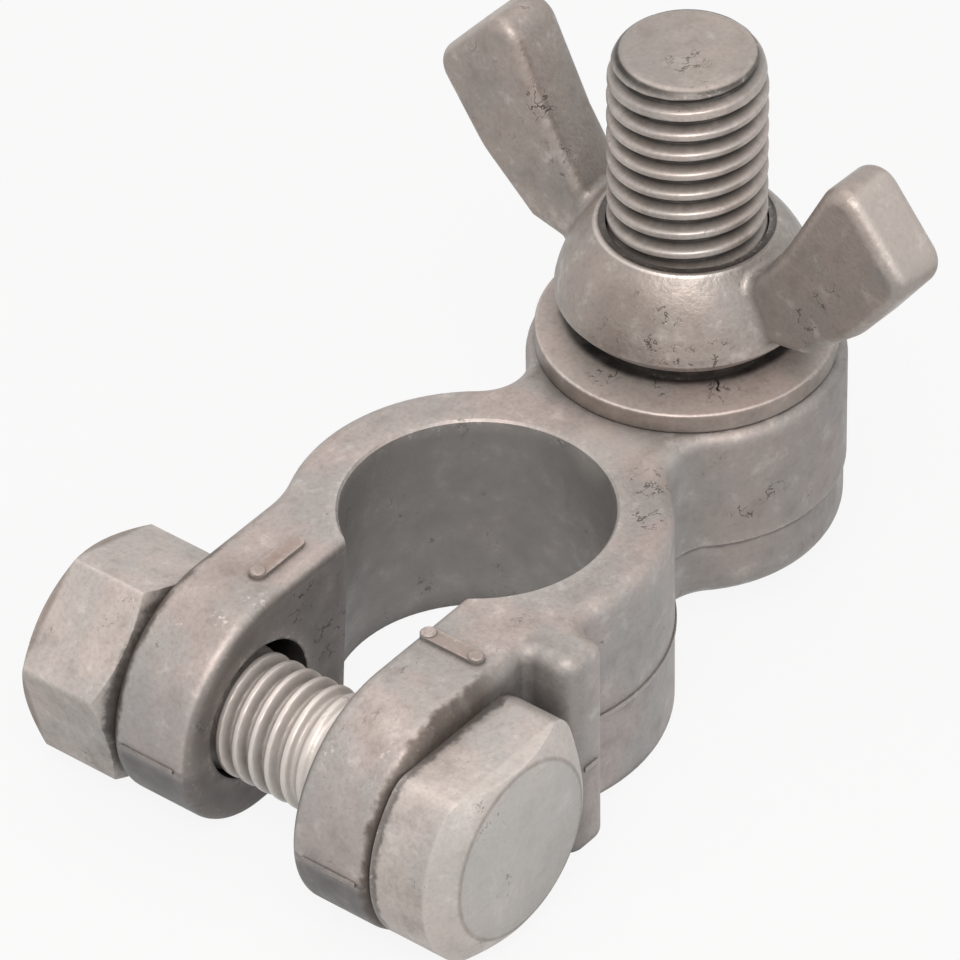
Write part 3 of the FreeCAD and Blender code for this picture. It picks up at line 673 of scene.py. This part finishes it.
def plated(
    name, warm, cool, roughness, cast=1.0, reach=1.5, rub=0.5, wear=1.0, metallic=0.40, zones=(), scribbles=()
):
    """Satin plating over cast or forged metal, with rubbed edges, and with its corners and gaps darkened:
    painted shade, partly grime.

    Broad noise mixes a warm and a cool grey, noise of a millimetre or two clouds them and fine noise grains
    them. Thin bands of noise about its middle value, kept only inside small lumps of another noise, are
    short hair scratches, and the peaks of a fine noise are specks and pits. Each zone is a mask, a colour
    and a strength. Scribbles are spots where scratches crowd.
    """
    finish = Finish(name)
    broad = finish.noise(7.0 * MM, 3.0, 0.55)
    patch = finish.noise(1.7 * MM, 4.0, 0.62, shift=0.31)
    grain = finish.noise(0.30 * MM, 3.0, 0.6, shift=0.13)
    speck = finish.noise(0.36 * MM, 2.0, 0.6, (1.0, 1.5, 1.2), (0.5, 0.3, 0.8), 0.57)
    cluster = finish.noise(3.8 * MM, 2.0, 0.5, shift=0.83)
    colour = finish.tint(broad.above(0.38, 0.62), warm, cool)
    colour = finish.tint(patch.above(0.50, 0.74) * 0.34, colour, SMOKE_AND_SHADE)
    colour = finish.tint((1.0 - patch.above(0.26, 0.46)) * 0.30, colour, WORN_AND_HIGHLIGHT)
    colour = finish.tint((1.0 - grain.above(0.30, 0.58)) * 0.22, colour, SMOKE_AND_SHADE)
    for mask, tone, strength in zones:
        colour = finish.tint(mask(finish) * (0.55 + 0.8 * patch) * strength, colour, tone)
    wiry = finish.noise(1.4 * MM, 3.0, 0.62, (1.0, 1.4, 1.0), (0.3, 0.2, 0.9), 0.41)
    short = finish.noise(0.9 * MM, 1.0, 0.5, shift=0.97)
    line = 1.0 - abs(wiry - 0.5).above(0.006, 0.024)
    stray = short.above(0.54, 0.62) * cluster.above(0.55, 0.66) * 0.6
    crowd = short.above(0.42, 0.52) * finish.near(scribbles) if scribbles else 0.0
    scratch = line * stray.most(crowd)
    pit = speck.above(0.64, 0.72) * cluster.above(0.50, 0.66)
    corner = finish.closeness(reach * MM).above(0.20, 0.72)
    rubbed = finish.closeness(rub * MM, True).above(0.30, 0.70)
    dirt_and_shade = corner * (0.5 + 0.9 * patch)
    marks = 0.85 * scratch + 0.35 * pit
    edge = rubbed * wear * (1.0 - corner) * patch.above(0.35, 0.60)
    colour = finish.tint(edge * 0.45, colour, WORN_AND_HIGHLIGHT)
    # painted glints: bright specks on the rubbed edges, partly wear
    colour = finish.tint(edge * grain.above(0.56, 0.66) * 0.85, colour, WORN_AND_HIGHLIGHT)
    # painted shade: corners and gaps darkened, partly grime
    colour = finish.tint(dirt_and_shade.above(0.0, 1.0) * 0.92, colour, GRIME_AND_SHADE)
    colour = finish.tint(marks.above(0.0, 1.0) * 0.80, colour, GRIME_AND_SHADE)
    rough = roughness + 0.30 * (patch - 0.5) + 0.12 * dirt_and_shade + 0.20 * marks - 0.10 * edge
    height = cast * (0.8 * grain + 1.6 * patch + 2.0 * cluster) - 0.9 * scratch - 0.8 * pit
    bump = finish.node("ShaderNodeBump", None, Strength=BUMP_STRENGTH, Distance=BUMP_DEPTH, Height=height)
    shader = finish.shader.inputs
    finish.feed(shader["Base Color"], colour)
    finish.feed(shader["Roughness"], rough)
    finish.feed(shader["Normal"], bump.outputs[0])
    finish.feed(shader["Metallic"], metallic * (1.0 - dirt_and_shade.above(0.0, 1.0)))
    return finish.material


def dress(node, material):
    """Gives every slot of a carried-over solid the material."""
    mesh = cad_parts[node].data
    if not mesh.materials:
        mesh.materials.append(material)
    for place in range(len(mesh.materials)):
        mesh.materials[place] = material


def floor():
    """A pale floor: a flat sheet just under the lowest point, worked out from the object's box."""
    height = CAD_BOX[0].z - FLOOR_GAP
    mesh = bpy.data.meshes.new("floor")
    corners = [
        (across * FLOOR_REACH, along * FLOOR_REACH, height)
        for across, along in ((-1, -1), (1, -1), (1, 1), (-1, 1))
    ]
    mesh.from_pydata(corners, [], [(0, 1, 2, 3)])
    sheet = bpy.data.objects.new("floor", mesh)
    bpy.context.collection.objects.link(sheet)
    finish = Finish("pale_floor")
    finish.shader.inputs["Base Color"].default_value = FLOOR_GREY
    finish.shader.inputs["Roughness"].default_value = FLOOR_ROUGHNESS
    path = finish.node("ShaderNodeLightPath").outputs
    seen = Field(finish, path["Is Camera Ray"]) + Field(finish, path["Is Glossy Ray"])
    seen = (seen + Field(finish, path["Is Transmission Ray"])).above(0.0, 1.0)
    white = finish.node("ShaderNodeEmission", None, Color=WHITE, Strength=1.0)
    share = seen * FLOOR_WHITENESS
    mixed = finish.node("ShaderNodeMixShader", None, share, finish.shader.outputs[0], white.outputs[0])
    finish.links.new(mixed.outputs[0], finish.nodes["Material Output"].inputs["Surface"])
    mesh.materials.append(finish.material)


def sky():
    """Plain grey daylight, seen as white by the camera and in reflections."""
    world = bpy.data.worlds.new("studio")
    world.use_nodes = True
    nodes = world.node_tree.nodes
    links = world.node_tree.links
    path = nodes.new("ShaderNodeLightPath")
    plain = nodes["Background"]
    plain.inputs["Color"].default_value = WHITE
    plain.inputs["Strength"].default_value = DAYLIGHT
    white = nodes.new("ShaderNodeBackground")
    white.inputs["Color"].default_value = WHITE
    seen = path.outputs["Is Camera Ray"]
    for ray in ("Is Glossy Ray", "Is Transmission Ray"):
        most = nodes.new("ShaderNodeMath")
        most.operation = "MAXIMUM"
        links.new(seen, most.inputs[0])
        links.new(path.outputs[ray], most.inputs[1])
        seen = most.outputs[0]
    mix = nodes.new("ShaderNodeMixShader")
    links.new(seen, mix.inputs[0])
    links.new(plain.outputs[0], mix.inputs[1])
    links.new(white.outputs[0], mix.inputs[2])
    links.new(mix.outputs[0], nodes["World Output"].inputs["Surface"])
    bpy.context.scene.world = world


def softbox(name, direction, distance, size, power, colour):
    """A square soft light that looks at the object from a direction."""
    light = bpy.data.lights.new(name, "AREA")
    light.shape = "SQUARE"
    light.size = size
    light.energy = power
    light.color = colour
    lamp = bpy.data.objects.new(name, light)
    bpy.context.collection.objects.link(lamp)
    aim = (CAD_BOX[0] + CAD_BOX[1]) / 2.0
    towards = Vector(direction).normalized()
    lamp.location = aim + towards * distance
    lamp.rotation_euler = towards.to_track_quat("Z", "Y").to_euler()


def camera():
    """The photograph's view: right, up and back are worked out from azimuth, elevation and roll."""
    turn, rise, roll = CAMERA_AZIMUTH, CAMERA_ELEVATION, CAMERA_ROLL
    back = Vector((math.sin(turn) * math.cos(rise), -math.cos(turn) * math.cos(rise), math.sin(rise)))
    level = Vector((math.cos(turn), math.sin(turn), 0.0))
    above = back.cross(level)
    right = math.cos(roll) * level + math.sin(roll) * above
    up = math.cos(roll) * above - math.sin(roll) * level
    data = bpy.data.cameras.new("view")
    data.sensor_width = SENSOR_WIDTH
    data.lens = LENS
    data.clip_start = CLIP_NEAR
    data.clip_end = CLIP_FAR
    view = bpy.data.objects.new("view", data)
    bpy.context.collection.objects.link(view)
    axes = Matrix((right, up, back)).transposed().to_4x4()
    place = right * CAMERA_ASIDE + up * CAMERA_RAISED + back * CAMERA_AWAY
    view.matrix_world = Matrix.Translation(place) @ axes
    bpy.context.scene.camera = view


camera()
floor()
sky()
softbox("front", (-0.45, -0.36, 0.83), 0.60, 0.30, 2.45, (1.0, 0.93, 0.90))
softbox("key", (-0.85, 0.05, 0.80), 0.55, 0.28, 0.25, (1.0, 0.91, 0.87))
softbox("top", (0.15, 0.25, 1.0), 0.60, 0.45, 1.0, (1.0, 0.91, 0.87))
softbox("fill", (-0.1, -1.0, 0.45), 0.70, 0.40, 0.65, (0.97, 0.98, 1.0))
bpy.context.scene.view_settings.view_transform = "Standard"

stud = stud_piece()
bolt = bolt_piece()
dress("clamp_body", plated(
    "cast_plating", WARM, COOL, 0.50, rub=1.2,
    zones=(
        # painted shade in the post bore and the slot
        (cast_walls, WALL_PAINTED_SHADE, 0.85),
        # dark seam band: partly dirt in the seam, partly painted shadow under the flash
        (parting_line, GRIME_AND_SHADE, 0.55),
        # painted shade low on the ears
        (low_down, LOW_PAINTED_SHADE, 0.96),
        (raised_bars, RUST, 0.55),
        # painted light: the cooler tone that the sides get from the lamps
        (side_walls, SIDE_PAINTED_LIGHT, 0.30),
        (boss_wall, SMOKE_AND_SHADE, 0.36),
        # painted shade where the ears roll under the bolt head and the nut
        (ear_faces, EAR_PAINTED_SHADE, 0.95),
        # lighter: partly wear, partly a painted highlight
        (neck_top, WORN_AND_HIGHLIGHT, 0.22),
        # painted shade in the slot
        (slot_walls, SLOT_PAINTED_SHADE, 0.45),
        # painted shade in the bolt holes
        (bolt_holes, SHADOW_AND_CRACK, 0.90),
        (far_ear_top, SMOKE_AND_SHADE, 0.22),
        # painted glints, partly wear
        (ear_glints, WORN_AND_HIGHLIGHT, 0.50),
    ),
    scribbles=(
        (8.5, -6.7, 15.4, 2.2), (5.6, -8.9, 15.4, 1.6), (17.8, -8.5, 10.3, 1.8), (16.3, -7.7, 9.3, 2.0),
        (-11.5, 4.6, 13.3, 2.0), (-8.8, 4.6, 9.2, 2.6),
    ),
))
dress("wing_nut", plated(
    "wing_nut_plating", shade(162, 152, 145), shade(148, 143, 138), 0.40, cast=1.4, reach=0.7,
    zones=(
        # painted shadow under the hub's belly
        (under_hub, SHADOW_AND_CRACK, 1.0),
        # painted light on the wings' end faces
        (wing_ends, WORN_AND_HIGHLIGHT, 0.22),
        (hub_stain, SMOKE_AND_SHADE, 0.45),
        # painted shade in the gap round the stud
        (hub_mouth, SHADOW_AND_CRACK, 0.90),
        # painted highlight along the front of the hub's rim
        (hub_rim, WORN_AND_HIGHLIGHT, 0.55),
    ),
    scribbles=(
        (13.9, -2.4, 20.6, 1.6), (15.5, -6.6, 20.2, 1.8), (14.2, -3.6, 23.0, 1.4), (14.4, -4.6, 19.6, 2.0),
        (18.6, -12.6, 26.4, 1.8), (18.5, -11.0, 23.6, 1.6), (18.8, 9.8, 30.0, 2.2), (18.8, 8.6, 26.5, 1.8),
    ),
))
dress("washer", plated(
    "washer_plating", shade(194, 181, 174), shade(184, 176, 170), 0.46, cast=0.5, reach=0.9, wear=0.4,
    zones=(
        # painted shadow of the hub on the washer
        (round_stud, SHADOW_AND_CRACK, 0.95),
        (washer_crack, SHADOW_AND_CRACK, 1.0),
        # painted shade on the washer's rim
        (side_walls, SMOKE_AND_SHADE, 0.75),
    ),
    scribbles=((14.6, -2.6, 16.8, 1.8), (16.6, -5.9, 16.8, 1.7), (13.6, 0.6, 16.8, 1.5)),
))
stud.data.materials.append(plated(
    "stud_plating", shade(182, 172, 165), shade(166, 161, 156), 0.36, cast=0.3, reach=0.8, wear=0.8,
    zones=(
        (stud_end, SMOKE_AND_SHADE, 0.35),
        # painted shade in the thread's grooves
        (stud_roots, GRIME_AND_SHADE, 1.0),
    ),
    scribbles=((20.0, -0.6, 37.7, 1.8),),
))
bolt.data.materials.append(plated(
    "bolt_plating", shade(190, 181, 175), shade(178, 174, 170), 0.44, cast=0.5, reach=1.1,
    zones=(
        # painted light on the head's flat front
        (head_disc, HEAD_DISC_PAINTED_LIGHT, 0.50),
        # painted shade along the bend between chamfer and disc
        (head_ring, SMOKE_AND_SHADE, 0.35),
        # painted light on the head's chamfer
        (head_bevel, WORN_AND_HIGHLIGHT, 0.22),
        # painted shade where the head meets the ear
        (head_foot, GRIME_AND_SHADE, 0.75),
        (bolt_shaft, WORN_AND_HIGHLIGHT, 0.62),
        # painted shade in the thread's grooves
        (bolt_roots, SMOKE_AND_SHADE, 0.28),
    ),
))
dress("clamp_nut", plated(
    "nut_plating", shade(190, 180, 174), shade(174, 170, 166), 0.45, cast=0.5, reach=1.1,
    zones=(
        # painted shade on faces that lean down
        (facing_down, SMOKE_AND_SHADE, 0.60),
        # painted shade where the nut meets the ear
        (nut_foot, GRIME_AND_SHADE, 0.75),
        (nut_rim, SMOKE_AND_SHADE, 0.75),
    ),
))
